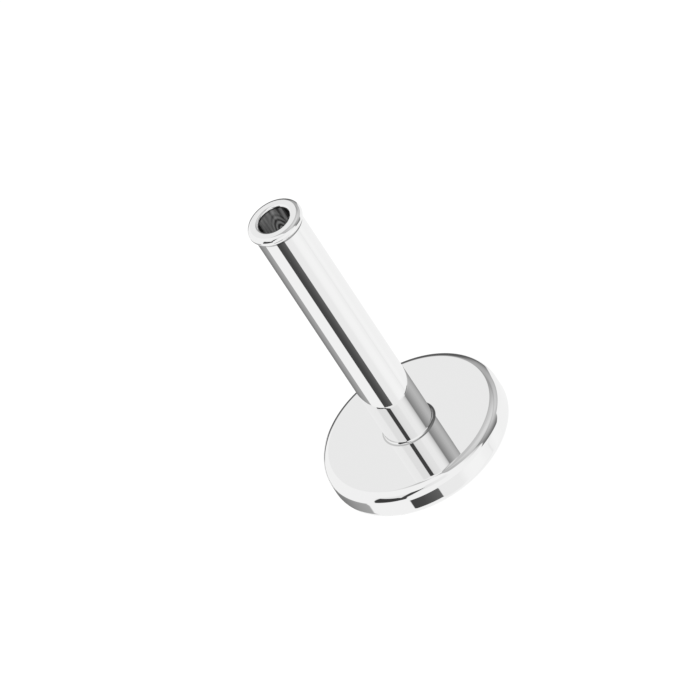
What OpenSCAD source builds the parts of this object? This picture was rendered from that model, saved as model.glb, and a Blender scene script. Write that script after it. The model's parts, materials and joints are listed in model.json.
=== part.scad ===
// Labret stud: a flat base disc with a tube standing on its middle as the post.
// The tube ends in a rounded collar, and its bore is the socket for a push-in top.
// The disc, the post and the collar are soldered and polished as one piece of steel.
// Millimetres. The origin is the middle of the disc's underside, and +Z runs up the post.

/* [Base disc] */
// Diameter of the base disc
disc_d = 3.7; // [2.5:0.05:6]
// Thickness of the base disc, from its underside to its flat face
disc_t = 0.6; // [0.44:0.02:1]
// Radius of the round between the flat face and the side wall
shoulder_r = 0.19; // [0.04:0.01:0.24]
// Radius of the round between the side wall and the underside
under_r = 0.18; // [0.04:0.01:0.19]

/* [Post] */
// Outer diameter of the post
post_d = 1; // [0.9:0.05:1.6]
// Length of the post, from the disc's flat face to the end face
post_l = 5.9; // [4.7:0.2:11.9]
// Radius of the solder fillet round the foot of the post
fillet_r = 0.05; // [0.02:0.01:0.1]

/* [Collar] */
// How far the collar stands out from the post
collar_out = 0.06; // [0.02:0.005:0.1]
// Radius of the collar's rounded edge
collar_edge_r = 0.09; // [0.07:0.005:0.11]

/* [Socket] */
// Diameter of the socket
socket_d = 0.65; // [0.4:0.01:0.66]
// Radius of the round at the socket's mouth
mouth_r = 0.045; // [0.02:0.005:0.05]

/* [Hidden] */
$fn = 96;

end_z = disc_t + post_l;
collar_d = post_d + 2 * collar_out;

// Half the disc's section: a flat plate with both edges rounded
module disc_section() {
    shoulder = [disc_d / 2 - shoulder_r, disc_t - shoulder_r];
    under = [disc_d / 2 - under_r, under_r];
    square([min(shoulder.x, under.x), disc_t]);
    translate([0, under.y]) square([disc_d / 2, shoulder.y - under.y]);
    translate(shoulder) circle(r = shoulder_r);
    translate(under) circle(r = under_r);
    polygon([[0, 0], [under.x, 0], under, shoulder, [shoulder.x, disc_t], [0, disc_t]]);
}

// Half the post's section, solid, from the disc's flat face up into the collar
module post_section() {
    translate([0, disc_t / 2]) square([post_d / 2, end_z - collar_edge_r - disc_t / 2]);
}

// The small fillet that solder leaves in the corner between the disc and the post
module fillet_section() {
    translate([post_d / 2, disc_t]) difference() {
        translate([-fillet_r, -fillet_r]) square(2 * fillet_r);
        translate([fillet_r, fillet_r]) circle(r = fillet_r);
    }
}

// Half the collar's section: a flat end face with a fully rounded outer edge
module collar_section() {
    edge = [collar_d / 2 - collar_edge_r, end_z - collar_edge_r];
    translate([0, edge.y - collar_edge_r]) square([edge.x, 2 * collar_edge_r]);
    translate(edge) circle(r = collar_edge_r);
}

// What the socket takes away: a round bore down to the disc's flat face, with a rounded mouth
module socket_section() {
    translate([0, disc_t]) square([socket_d / 2, post_l + mouth_r]);
    translate([socket_d / 2, end_z - mouth_r]) difference() {
        translate([-mouth_r, 0]) square(2 * mouth_r);
        translate([mouth_r, 0]) circle(r = mouth_r);
    }
}

module labret_stud() {
    color("silver") rotate_extrude() difference() {
        union() {
            disc_section();
            post_section();
            fillet_section();
            collar_section();
        }
        socket_section();
    }
}

labret_stud();
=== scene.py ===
"""Looks of the labret stud: mirror polished steel on a pale floor, in soft studio light."""

import json
import math
from collections import namedtuple

import bmesh
import bpy
from mathutils import Matrix, Vector


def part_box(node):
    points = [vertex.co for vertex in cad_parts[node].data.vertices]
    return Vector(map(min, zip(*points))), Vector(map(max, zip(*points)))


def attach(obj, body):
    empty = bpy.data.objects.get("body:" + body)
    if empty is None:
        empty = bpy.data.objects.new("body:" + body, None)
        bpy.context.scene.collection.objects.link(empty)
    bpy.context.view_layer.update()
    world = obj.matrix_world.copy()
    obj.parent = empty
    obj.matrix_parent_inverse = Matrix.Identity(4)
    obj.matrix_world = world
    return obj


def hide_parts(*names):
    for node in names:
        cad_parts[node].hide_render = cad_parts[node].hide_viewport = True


MM = 0.001

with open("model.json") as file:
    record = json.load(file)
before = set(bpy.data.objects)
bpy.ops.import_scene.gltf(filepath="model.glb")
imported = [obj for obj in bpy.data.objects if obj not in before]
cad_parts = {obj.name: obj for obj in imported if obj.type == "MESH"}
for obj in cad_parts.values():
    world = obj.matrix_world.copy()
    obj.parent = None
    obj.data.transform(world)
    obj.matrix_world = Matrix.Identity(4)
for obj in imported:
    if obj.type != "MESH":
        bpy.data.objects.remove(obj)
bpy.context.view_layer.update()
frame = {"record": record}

# Sizes of the stud, from the frame
mounts = {m["name"]: m for m in frame["record"]["mounts"]}
top_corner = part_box("labret_stud")[1]
DISC_R = top_corner.x
END_Z = top_corner.z
FACE_Z = mounts["disc_face"]["pos_m"][2]
POST_R = mounts["post"]["dims"]["r_mm"] * MM
SOCKET_R = mounts["socket"]["dims"]["r_mm"] * MM
MOUTH_R = END_Z - FACE_Z - mounts["socket"]["dims"]["length_mm"] * MM

# Sizes of its rounded edges, as in the part's source
SHOULDER_R = 0.19 * MM
UNDER_R = 0.18 * MM
FILLET_R = 0.05 * MM
COLLAR_R = POST_R + 0.06 * MM
COLLAR_EDGE_R = 0.09 * MM

# How finely the mesh is made: the steps of a full turn and of an arc, how far from its ends a line
# has its inner vertices, and how close two vertices are merged
TURN_STEPS = 360
ARC_STEP = math.radians(5)
HOLD = 0.004 * MM
MERGE = 0.0001 * MM
# A face counts as the bore's when its middle lies no further than this outside it
SLACK = 0.0003 * MM

# The camera: a long lens, so that the stud is seen without perspective
ELEVATION = math.radians(39)
ROLL = math.radians(33.6)
PIXELS = 700
PIXELS_PER_MM = 53.5
DISTANCE = 0.5
SENSOR = 36
TARGET = Vector((-0.155 * MM, 0, FACE_Z + 2.27 * MM))

# The floor and the light over it
FLOOR_SIZE = 0.6
FLOOR_GLOW = 1
LIGHT_HEIGHT = 0.25
LIGHT_SIZE = 0.3
LIGHT_POWER = 2.5

# Greys of the tent that the metal mirrors, and of the cards in it that have one shade
TENT_WHITE = "#F8F8F8"
PALE_CARD = "#F0F0F0"
LEFT_PANEL = "#ECECEC"
DARK_CARD = "#5A5A5A"
DARK_STRIP = "#505050"
BLACK_CARD = "#3C3C3C"
BLACK_ARM = "#434343"

# Where a mirrored ray goes, in degrees: the way round from the camera, to the right, and the way up.
# The way round is given twice, front with its break at the back, and back with its break at the front.
Directions = namedtuple("Directions", "front back up front_spot back_spot")


def linear(hex_colour):
    """An sRGB hex colour as linear RGBA."""
    channels = [int(hex_colour[i:i + 2], 16) / 255 for i in (1, 3, 5)]
    return [c / 12.92 if c <= 0.04045 else ((c + 0.055) / 1.055) ** 2.4 for c in channels] + [1]


def add_node(tree, kind, settings=None, links=None):
    """Adds a node. A link's value is an output socket, or else the input's own value."""
    node = tree.nodes.new(kind)
    for name, value in (settings or {}).items():
        setattr(node, name, value)
    for name, value in (links or {}).items():
        if isinstance(value, bpy.types.NodeSocket):
            tree.links.new(value, node.inputs[name])
        else:
            node.inputs[name].default_value = value
    return node


def arc(bm, centre, radius, start, turn):
    """Vertices along an arc in the XZ plane, made by spinning one vertex about the arc's centre."""
    middle = Vector((centre[0], 0, centre[1]))
    vertex = bm.verts.new(middle + radius * Vector((math.cos(start), 0, math.sin(start))))
    before = set(bm.verts)
    bmesh.ops.spin(bm, geom=[vertex], cent=middle, axis=(0, -1, 0), angle=turn,
                   steps=max(2, round(abs(turn) / ARC_STEP)))
    return [vertex] + [v for v in bm.verts if v not in before]


def straight(bm, start, end):
    """Joins two vertices by a line with a vertex close to each end, which holds the shading flat."""
    span = end.co - start.co
    inner = [bm.verts.new(start.co + span.normalized() * d) for d in (HOLD, span.length - HOLD)]
    for first, second in zip([start] + inner, inner + [end]):
        bm.edges.new((first, second))


def spun_stud():
    """The whole stud as one closed mesh: its section's outline, spun round the post's axis."""
    bm = bmesh.new()
    quarter = math.pi / 2
    collar_edge = (COLLAR_R - COLLAR_EDGE_R, END_Z - COLLAR_EDGE_R)
    tuck = math.acos((POST_R - collar_edge[0]) / COLLAR_EDGE_R)
    stretches = [
        [bm.verts.new((0, 0, 0))],
        arc(bm, (DISC_R - UNDER_R, UNDER_R), UNDER_R, -quarter, quarter),
        arc(bm, (DISC_R - SHOULDER_R, FACE_Z - SHOULDER_R), SHOULDER_R, 0, quarter),
        arc(bm, (POST_R + FILLET_R, FACE_Z + FILLET_R), FILLET_R, -quarter, -quarter),
        arc(bm, collar_edge, COLLAR_EDGE_R, -tuck, tuck + quarter),
        arc(bm, (SOCKET_R + MOUTH_R, END_Z - MOUTH_R), MOUTH_R, quarter, quarter),
        [bm.verts.new((SOCKET_R, 0, FACE_Z))],
        [bm.verts.new((0, 0, FACE_Z))],
    ]
    for before, after in zip(stretches, stretches[1:]):
        straight(bm, before[-1], after[0])
    bmesh.ops.spin(bm, geom=bm.verts[:] + bm.edges[:], cent=(0, 0, 0), axis=(0, 0, 1),
                   angle=2 * math.pi, steps=TURN_STEPS, use_merge=True)
    bmesh.ops.remove_doubles(bm, verts=bm.verts[:], dist=MERGE)
    bmesh.ops.recalc_face_normals(bm, faces=bm.faces[:])
    for face in bm.faces:
        face.smooth = True
        centre = face.calc_center_median()
        in_bore = centre.z > FACE_Z - SLACK and centre.xy.length < SOCKET_R + SLACK
        face.material_index = int(in_bore)
    mesh = bpy.data.meshes.new("polished_stud")
    bm.to_mesh(mesh)
    bm.free()
    stud = bpy.data.objects.new("polished_stud", mesh)
    bpy.context.scene.collection.objects.link(stud)
    return stud


def smooth_step(tree, value, start, end, at_start=0.0, at_end=1.0):
    """A number that goes smoothly from at_start to at_end while the given value goes from start to end."""
    step = add_node(tree, "ShaderNodeMapRange", {"interpolation_type": "SMOOTHSTEP"},
                    {"Value": value, "From Min": start, "From Max": end,
                     "To Min": at_start, "To Max": at_end})
    return step.outputs["Result"]


def work_out(tree, operation, first, second=0.0):
    """A number worked out from one or two others."""
    node = add_node(tree, "ShaderNodeMath", {"operation": operation}, {0: first, 1: second})
    return node.outputs["Value"]


def band(tree, value, start, end, soft):
    """One between start and end, zero outside, with edges that are soft wide."""
    rise = smooth_step(tree, value, start - soft / 2, start + soft / 2)
    fall = smooth_step(tree, value, end + soft / 2, end - soft / 2)
    return work_out(tree, "MULTIPLY", rise, fall)


def polished_steel():
    """Surgical steel, turned and buffed to a mirror, with rougher lines of painted shade in the two corners
    round the post.
    """
    material = bpy.data.materials.new("mirror polished surgical steel")
    material.use_nodes = True
    tree = material.node_tree
    bsdf = tree.nodes["Principled BSDF"]
    place = add_node(tree, "ShaderNodeTexCoord").outputs["Object"]
    split = add_node(tree, "ShaderNodeSeparateXYZ", None, {"Vector": place})
    height = split.outputs["Z"]
    sideways = add_node(tree, "ShaderNodeVectorMath", {"operation": "MULTIPLY"},
                        {0: place, 1: (1, 1, 0)})
    radius = add_node(tree, "ShaderNodeVectorMath", {"operation": "LENGTH"},
                      {0: sideways.outputs["Vector"]}).outputs["Value"]
    # Painted shade, with a rougher finish, on the outer part of the fillet, and on the right on all of it
    outer = band(tree, radius, POST_R + 0.4 * FILLET_R, POST_R + 1.05 * FILLET_R, 0.3 * FILLET_R)
    inner = band(tree, radius, POST_R + 0.08 * FILLET_R, POST_R + 0.6 * FILLET_R, 0.16 * FILLET_R)
    right = smooth_step(tree, split.outputs["X"], 0.1 * POST_R, 0.5 * POST_R)
    fillet_shade_ring = work_out(tree, "MAXIMUM", outer, work_out(tree, "MULTIPLY", inner, right))
    layer = band(tree, height, FACE_Z - FILLET_R, FACE_Z + FILLET_R, 0.1 * FILLET_R)
    foot = work_out(tree, "MULTIPLY", fillet_shade_ring, layer)
    # Painted shade, with a rougher finish, also in a thin line just under the collar.
    # It doesn't reach the corner under the collar either
    under = END_Z - 2 * COLLAR_EDGE_R
    collar_corner_shade = band(tree, height, under - 0.035 * MM, under + 0.03 * MM, 0.01 * MM)
    both = work_out(tree, "MAXIMUM", foot, collar_corner_shade)
    # Both lines of painted shade, and their roughness, are heavier on the right
    side = add_node(tree, "ShaderNodeMapRange", None,
                    {"Value": split.outputs["X"], "From Min": -POST_R, "From Max": POST_R, "To Min": 0.45})
    # dull is where the steel is rougher and painted darker: painted shade in both corners
    dull = work_out(tree, "MULTIPLY", both, side.outputs["Result"])
    # The steel's own grey, and the darker grey of the painted shade
    colour = add_node(tree, "ShaderNodeMix", {"data_type": "RGBA"}, {0: dull})
    colour.inputs[6].default_value = linear("#F7F7F7")
    colour.inputs[7].default_value = linear("#707070")
    # Faint cloudy patches, about 1 mm across, where the wheel pressed less
    cloud = add_node(tree, "ShaderNodeTexNoise", None, {"Vector": place, "Scale": 1 / MM, "Detail": 3})
    buffed = add_node(tree, "ShaderNodeMapRange", None,
                      {"Value": cloud.outputs["Fac"], "To Min": 0.01, "To Max": 0.035})
    rough = add_node(tree, "ShaderNodeMix", None,
                     {"Factor": dull, "A": buffed.outputs["Result"], "B": 0.15})
    tree.links.new(colour.outputs[2], bsdf.inputs["Base Color"])
    tree.links.new(rough.outputs["Result"], bsdf.inputs["Roughness"])
    bsdf.inputs["Metallic"].default_value = 1
    return material


def drawn_bore():
    """The same steel inside the tube, as the die left it: a dull skin with fine lines along the bore,
    lighter arcs of painted reflection on its far wall, and painted shade on its two sides.
    """
    material = bpy.data.materials.new("drawn steel bore")
    material.use_nodes = True
    tree = material.node_tree
    bsdf = tree.nodes["Principled BSDF"]
    place = add_node(tree, "ShaderNodeTexCoord").outputs["Object"]
    # Drawing lines about 0.08 mm apart, which run along the bore
    along = add_node(tree, "ShaderNodeMapping", None,
                     {"Vector": place, "Scale": (12 / MM, 12 / MM, 0.8 / MM)})
    lines = add_node(tree, "ShaderNodeTexNoise", None,
                     {"Vector": along.outputs["Vector"], "Scale": 1, "Detail": 3})
    # Lighter arcs about 0.09 mm apart on the far wall: painted reflection, which also bumps the skin
    arch_place = add_node(tree, "ShaderNodeMapping", {"vector_type": "TEXTURE"},
                    {"Vector": place, "Location": (0.05 * MM, SOCKET_R, END_Z - 0.6 * MM),
                     "Scale": (0.6, 1, 1.5)})
    painted_reflection_arches = add_node(tree, "ShaderNodeTexWave", {"wave_type": "RINGS", "rings_direction": "SPHERICAL"},
                      {"Vector": arch_place.outputs["Vector"], "Scale": 3.5 / MM, "Distortion": 2, "Detail": 2,
                       "Detail Scale": 0.5})
    reach = add_node(tree, "ShaderNodeVectorMath", {"operation": "LENGTH"}, {0: arch_place.outputs["Vector"]})
    near = smooth_step(tree, reach.outputs["Value"], 0.38 * MM, 0.05 * MM, at_end=0.5)
    lines_and_painted_arches = add_node(tree, "ShaderNodeMix", None,
                     {"Factor": near, "A": lines.outputs["Fac"], "B": painted_reflection_arches.outputs["Fac"]})
    skin = add_node(tree, "ShaderNodeValToRGB", None, {"Fac": lines_and_painted_arches.outputs["Result"]})
    skin.color_ramp.elements[0].position = 0.35
    skin.color_ramp.elements[0].color = linear("#505050")
    skin.color_ramp.elements[1].position = 0.7
    skin.color_ramp.elements[1].color = linear("#CACACA")
    # Darker just inside the mouth, and painted shade on its two sides
    split = add_node(tree, "ShaderNodeSeparateXYZ", None, {"Vector": place})
    aside = work_out(tree, "ABSOLUTE", split.outputs["X"])
    sides = smooth_step(tree, aside, 0.87 * SOCKET_R, 0.73 * SOCKET_R, at_start=0.02)
    mouth = smooth_step(tree, split.outputs["Z"], END_Z - MOUTH_R, END_Z - 1.8 * MOUTH_R, at_start=0.1)
    side_shade_and_dark_mouth = work_out(tree, "MULTIPLY", sides, mouth)
    colour = add_node(tree, "ShaderNodeVectorMath", {"operation": "SCALE"},
                      {0: skin.outputs["Color"], "Scale": side_shade_and_dark_mouth})
    tree.links.new(colour.outputs["Vector"], bsdf.inputs["Base Color"])
    bump = add_node(tree, "ShaderNodeBump", None,
                    {"Strength": 0.4, "Distance": 0.002 * MM, "Height": lines_and_painted_arches.outputs["Result"]})
    tree.links.new(bump.outputs["Normal"], bsdf.inputs["Normal"])
    bsdf.inputs["Metallic"].default_value = 0.6
    bsdf.inputs["Roughness"].default_value = 0.55
    return material


def fade(tree, angle, stops):
    """A grey that changes with an angle. Each stop is an angle in degrees and a colour."""
    first, last = stops[0][0], stops[-1][0]
    share = add_node(tree, "ShaderNodeMapRange", None,
                     {"Value": angle, "From Min": first, "From Max": last})
    ramp = add_node(tree, "ShaderNodeValToRGB", None, {"Fac": share.outputs["Result"]})
    elements = ramp.color_ramp.elements
    for degrees, colour in stops[1:-1]:
        elements.new((degrees - first) / (last - first)).color = linear(colour)
    elements[0].color = linear(stops[0][1])
    elements[-1].color = linear(stops[-1][1])
    return ramp.outputs["Color"]


def card(tree, spot, behind, shade, soft, corners):
    """Hangs a card with straight sides in front of what is behind it, and returns the brightness.

    Its shade is a colour or a brightness that changes over it, soft is half the width of its
    blurred edge, and its corners are angles round and up, anticlockwise.
    """
    if isinstance(shade, str):
        shade = linear(shade)[0]
    cover = 1.0
    for (x, y), (next_x, next_y) in zip(corners, corners[1:] + corners[:1]):
        inward = Vector((y - next_y, next_x - x)).normalized()
        side = add_node(tree, "ShaderNodeVectorMath", {"operation": "DOT_PRODUCT"},
                        {0: spot, 1: (inward.x, inward.y, -inward.dot((x, y)))})
        cover = work_out(tree, "MULTIPLY", smooth_step(tree, side.outputs["Value"], -soft, soft), cover)
    mixed = add_node(tree, "ShaderNodeMix", None, {"Factor": cover, "A": behind, "B": shade})
    return mixed.outputs["Result"]


def directions(tree):
    """Where the mirrored ray goes."""
    towards = add_node(tree, "ShaderNodeTexCoord").outputs["Generated"]
    split = add_node(tree, "ShaderNodeSeparateXYZ", None, {"Vector": towards})
    up = work_out(tree, "DEGREES", work_out(tree, "ARCSINE", split.outputs["Z"]))
    near = work_out(tree, "MULTIPLY", split.outputs["Y"], -1)
    front = work_out(tree, "DEGREES", work_out(tree, "ARCTAN2", split.outputs["X"], near))
    back = work_out(tree, "FLOORED_MODULO", front, 360)
    spots = [add_node(tree, "ShaderNodeCombineXYZ", None, {"X": turn, "Y": up, "Z": 1}).outputs["Vector"]
             for turn in (front, back)]
    return Directions(front, back, up, *spots)


def soft_panels(tree, way, bright):
    """Softly lit and shaded panels of the tent itself, in front and to both sides."""
    low = fade(tree, way.front, [(-14, "#F0F0F0"), (15, "#F1F1F1"), (24, "#F9F9F9"), (34, "#FBFBFB"),
                                 (48, "#FBFBFB"), (56, "#F8F8F8"), (65.8, "#F6F6F6"), (66.6, "#F0F0F0"),
                                 (68.6, "#F0F0F0"), (69.4, "#F6F6F6"), (80, "#FBFBFB"), (96, "#F9F9F9")])
    level = fade(tree, way.front, [(-31, "#E7E7E7"), (-15, "#EEEEEE"), (0, "#F0F0F0")])
    right = fade(tree, way.front, [(27, "#F8F8F8"), (35, "#F1F1F1"), (40, "#EBEBEB"), (44, "#E3E3E3"),
                                   (49, "#D5D5D5"), (56, "#C0C0C0")])
    bright = card(tree, way.front_spot, bright, low, 1, [(-14, -70), (96, -70), (96, -18), (-14, -18)])
    bright = card(tree, way.front_spot, bright, LEFT_PANEL, 5, [(-88, 30), (-30, 30), (-30, 44), (-88, 44)])
    bright = card(tree, way.front_spot, bright, level, 4, [(-31, 31), (4, 31), (4, 60), (-31, 60)])
    return card(tree, way.front_spot, bright, right, 2, [(27, 22), (57, 22), (57, 44), (27, 58)])


def grey_card(tree, way, bright):
    """The large grey card to the right and behind, lit from above, with its two arms."""
    foot = fade(tree, way.back, [(48, "#909090"), (58, "#999999"), (73, "#B3B3B3"), (90, "#CBCBCB"),
                                 (107, "#D6D6D6"), (128, "#CDCDCD"), (153, "#B3B3B3"), (190, "#AAAAAA")])
    head = fade(tree, way.back, [(10, "#C0C0C0"), (40, "#C2C2C2"), (60, "#D2D2D2"), (84, "#DCDCDC"),
                                 (100, "#E0E0E0"), (120, "#DADADA"), (144, "#CECECE"), (190, "#BEBEBE")])
    height = smooth_step(tree, way.up, 40, 50)
    grey = add_node(tree, "ShaderNodeMix", None, {"Factor": height, "A": foot, "B": head}).outputs["Result"]
    dimmed = fade(tree, way.up, [(-26, "#8A8A8A"), (-14, "#909090"), (-3, "#B0B0B0"), (6, "#CCCCCC"),
                                 (15, "#E6E6E6"), (26, "#FAFAFA"), (36, "#FFFFFF"), (38, "#E7E7E7"),
                                 (40, "#E7E7E7"), (42, "#FFFFFF"), (60, "#FFFFFF"), (90, "#E8E8E8")])
    grey = work_out(tree, "MULTIPLY", grey, dimmed)
    bright = card(tree, way.back_spot, bright, grey, 4,
                  [(58, 38), (180, 38), (192, 60), (192, 95), (4, 95), (11, 66)])
    bright = card(tree, way.back_spot, bright, grey, 2,
                  [(56, 12), (185, 12), (180, 33), (172, 45), (53, 45)])
    bright = card(tree, way.back_spot, bright, grey, 1.5,
                  [(51, -2), (84, -21), (87, -21), (94, 14), (56, 14)])
    return card(tree, way.back_spot, bright, grey, 1.5,
                [(150, -14), (196, -14), (190, 20), (137, 14)])


def dark_card(tree, way, bright):
    """A dark card low behind, with a thin strip that runs down from it to the left."""
    bright = card(tree, way.back_spot, bright, DARK_CARD, 5,
                  [(150, -14), (191, -14), (191, 17), (180, 30), (164, 26)])
    bright = card(tree, way.back_spot, bright, DARK_STRIP, 1,
                  [(190, 3), (206, -11), (205, 0), (195, 14), (190, 14)])
    return card(tree, way.back_spot, bright, DARK_STRIP, 1,
                [(202.5, -6.1), (217, -32.2), (219, -29.3), (205, -4.1)])


def pale_card(tree, way, bright):
    """What the flat face of the disc and the end of the collar mirror."""
    return card(tree, way.back_spot, bright, PALE_CARD, 2, [(175, 34), (188, 34), (188, 46), (175, 46)])


def black_card(tree, way, bright):
    """The black card to the left, with an arm that rises from its right end."""
    bright = card(tree, way.front_spot, bright, BLACK_CARD, 1,
                  [(-82, -7), (-46.5, -4), (-45, 10), (-57, 26), (-84, 36)])
    return card(tree, way.front_spot, bright, BLACK_ARM, 1,
                [(-56, 8), (-47.5, 8), (-27.3, 46), (-47.3, 46)])


def dim_card(tree, way, bright):
    """The grey card low behind to the left."""
    dim = fade(tree, way.front, [(-176, "#787878"), (-150, "#848484"), (-128, "#9A9A9A"), (-98, "#ACACAC")])
    return card(tree, way.front_spot, bright, dim, 1.5,
                [(-187, -42.5), (-109.5, -48), (-96, -23), (-187, -41)])


def black_strip(tree, way, bright):
    """The black strip low in front."""
    strip = fade(tree, way.front, [(-50, "#434343"), (-35, "#4A4A4A"), (-13, "#636363")])
    return card(tree, way.front_spot, bright, strip, 0.7,
                [(-50, -45.5), (-12.9, -45.5), (-12.9, -30), (-50, -36.5)])


def tent(tree):
    """The brightness that the metal mirrors: a white tent with black and grey cards hung in it."""
    way = directions(tree)
    bright = linear(TENT_WHITE)[0]
    for hang in (soft_panels, grey_card, dark_card, pale_card, black_card, dim_card, black_strip):
        bright = hang(tree, way, bright)
    return bright


def studio():
    """The world: the tent for the metal's reflections, and plain white for the camera and the floor."""
    world = bpy.data.worlds.new("studio")
    world.use_nodes = True
    world.cycles.sampling_method = "NONE"
    tree = world.node_tree
    tree.nodes.clear()
    plain = add_node(tree, "ShaderNodeBackground", None, {"Color": linear("#FFFFFF")})
    mirrored = add_node(tree, "ShaderNodeBackground", None, {"Color": tent(tree)})
    ray = add_node(tree, "ShaderNodeLightPath")
    seen = add_node(tree, "ShaderNodeMixShader", None,
                    {0: ray.outputs["Is Glossy Ray"], 1: plain.outputs["Background"],
                     2: mirrored.outputs["Background"]})
    add_node(tree, "ShaderNodeOutputWorld", None, {"Surface": seen.outputs["Shader"]})
    bpy.context.scene.world = world


def backlit_floor():
    """A white sheet under the stud, lit from below so that no line shows where the stud rests.

    It takes up most of the light from above, which keeps the stud's shadow off it, and it stays
    out of the metal's reflections.
    """
    bm = bmesh.new()
    bmesh.ops.create_grid(bm, x_segments=1, y_segments=1, size=FLOOR_SIZE / 2)
    mesh = bpy.data.meshes.new("floor")
    bm.to_mesh(mesh)
    bm.free()
    material = bpy.data.materials.new("backlit white acrylic")
    material.use_nodes = True
    bsdf = material.node_tree.nodes["Principled BSDF"]
    bsdf.inputs["Base Color"].default_value = linear("#202020")
    bsdf.inputs["Roughness"].default_value = 1
    bsdf.inputs["Specular IOR Level"].default_value = 0
    bsdf.inputs["Emission Color"].default_value = linear("#FFFFFF")
    bsdf.inputs["Emission Strength"].default_value = FLOOR_GLOW
    mesh.materials.append(material)
    floor = bpy.data.objects.new("floor", mesh)
    bpy.context.scene.collection.objects.link(floor)
    floor.visible_glossy = False


def overhead_light():
    """A large soft light over the stud, for the floor and the dull bore: the rest mirrors the tent."""
    data = bpy.data.lights.new("overhead", "AREA")
    data.size = LIGHT_SIZE
    data.energy = LIGHT_POWER
    light = bpy.data.objects.new("overhead", data)
    light.location = (0, 0, LIGHT_HEIGHT)
    light.visible_glossy = False
    light.visible_camera = False
    bpy.context.scene.collection.objects.link(light)


def camera():
    """The camera at the photograph's angle, rolled so that the post leans to the upper left."""
    data = bpy.data.cameras.new("camera")
    data.sensor_width = SENSOR
    data.lens = SENSOR * DISTANCE / (PIXELS / PIXELS_PER_MM * MM)
    data.clip_start = DISTANCE / 10
    data.clip_end = DISTANCE * 10
    back = Vector((0, -math.cos(ELEVATION), math.sin(ELEVATION)))
    upright = Vector((0, math.sin(ELEVATION), math.cos(ELEVATION)))
    up = upright * math.cos(ROLL) + Vector((1, 0, 0)) * math.sin(ROLL)
    turn = Matrix((up.cross(back), up, back)).transposed().to_4x4()
    made = bpy.data.objects.new("camera", data)
    made.matrix_world = Matrix.Translation(TARGET + back * DISTANCE) @ turn
    bpy.context.scene.collection.objects.link(made)
    bpy.context.scene.camera = made


stud = spun_stud()
stud.data.materials.append(polished_steel())
stud.data.materials.append(drawn_bore())
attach(stud, "root")
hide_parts("labret_stud")

camera()
backlit_floor()
overhead_light()
studio()
bpy.context.scene.view_settings.view_transform = "Standard"
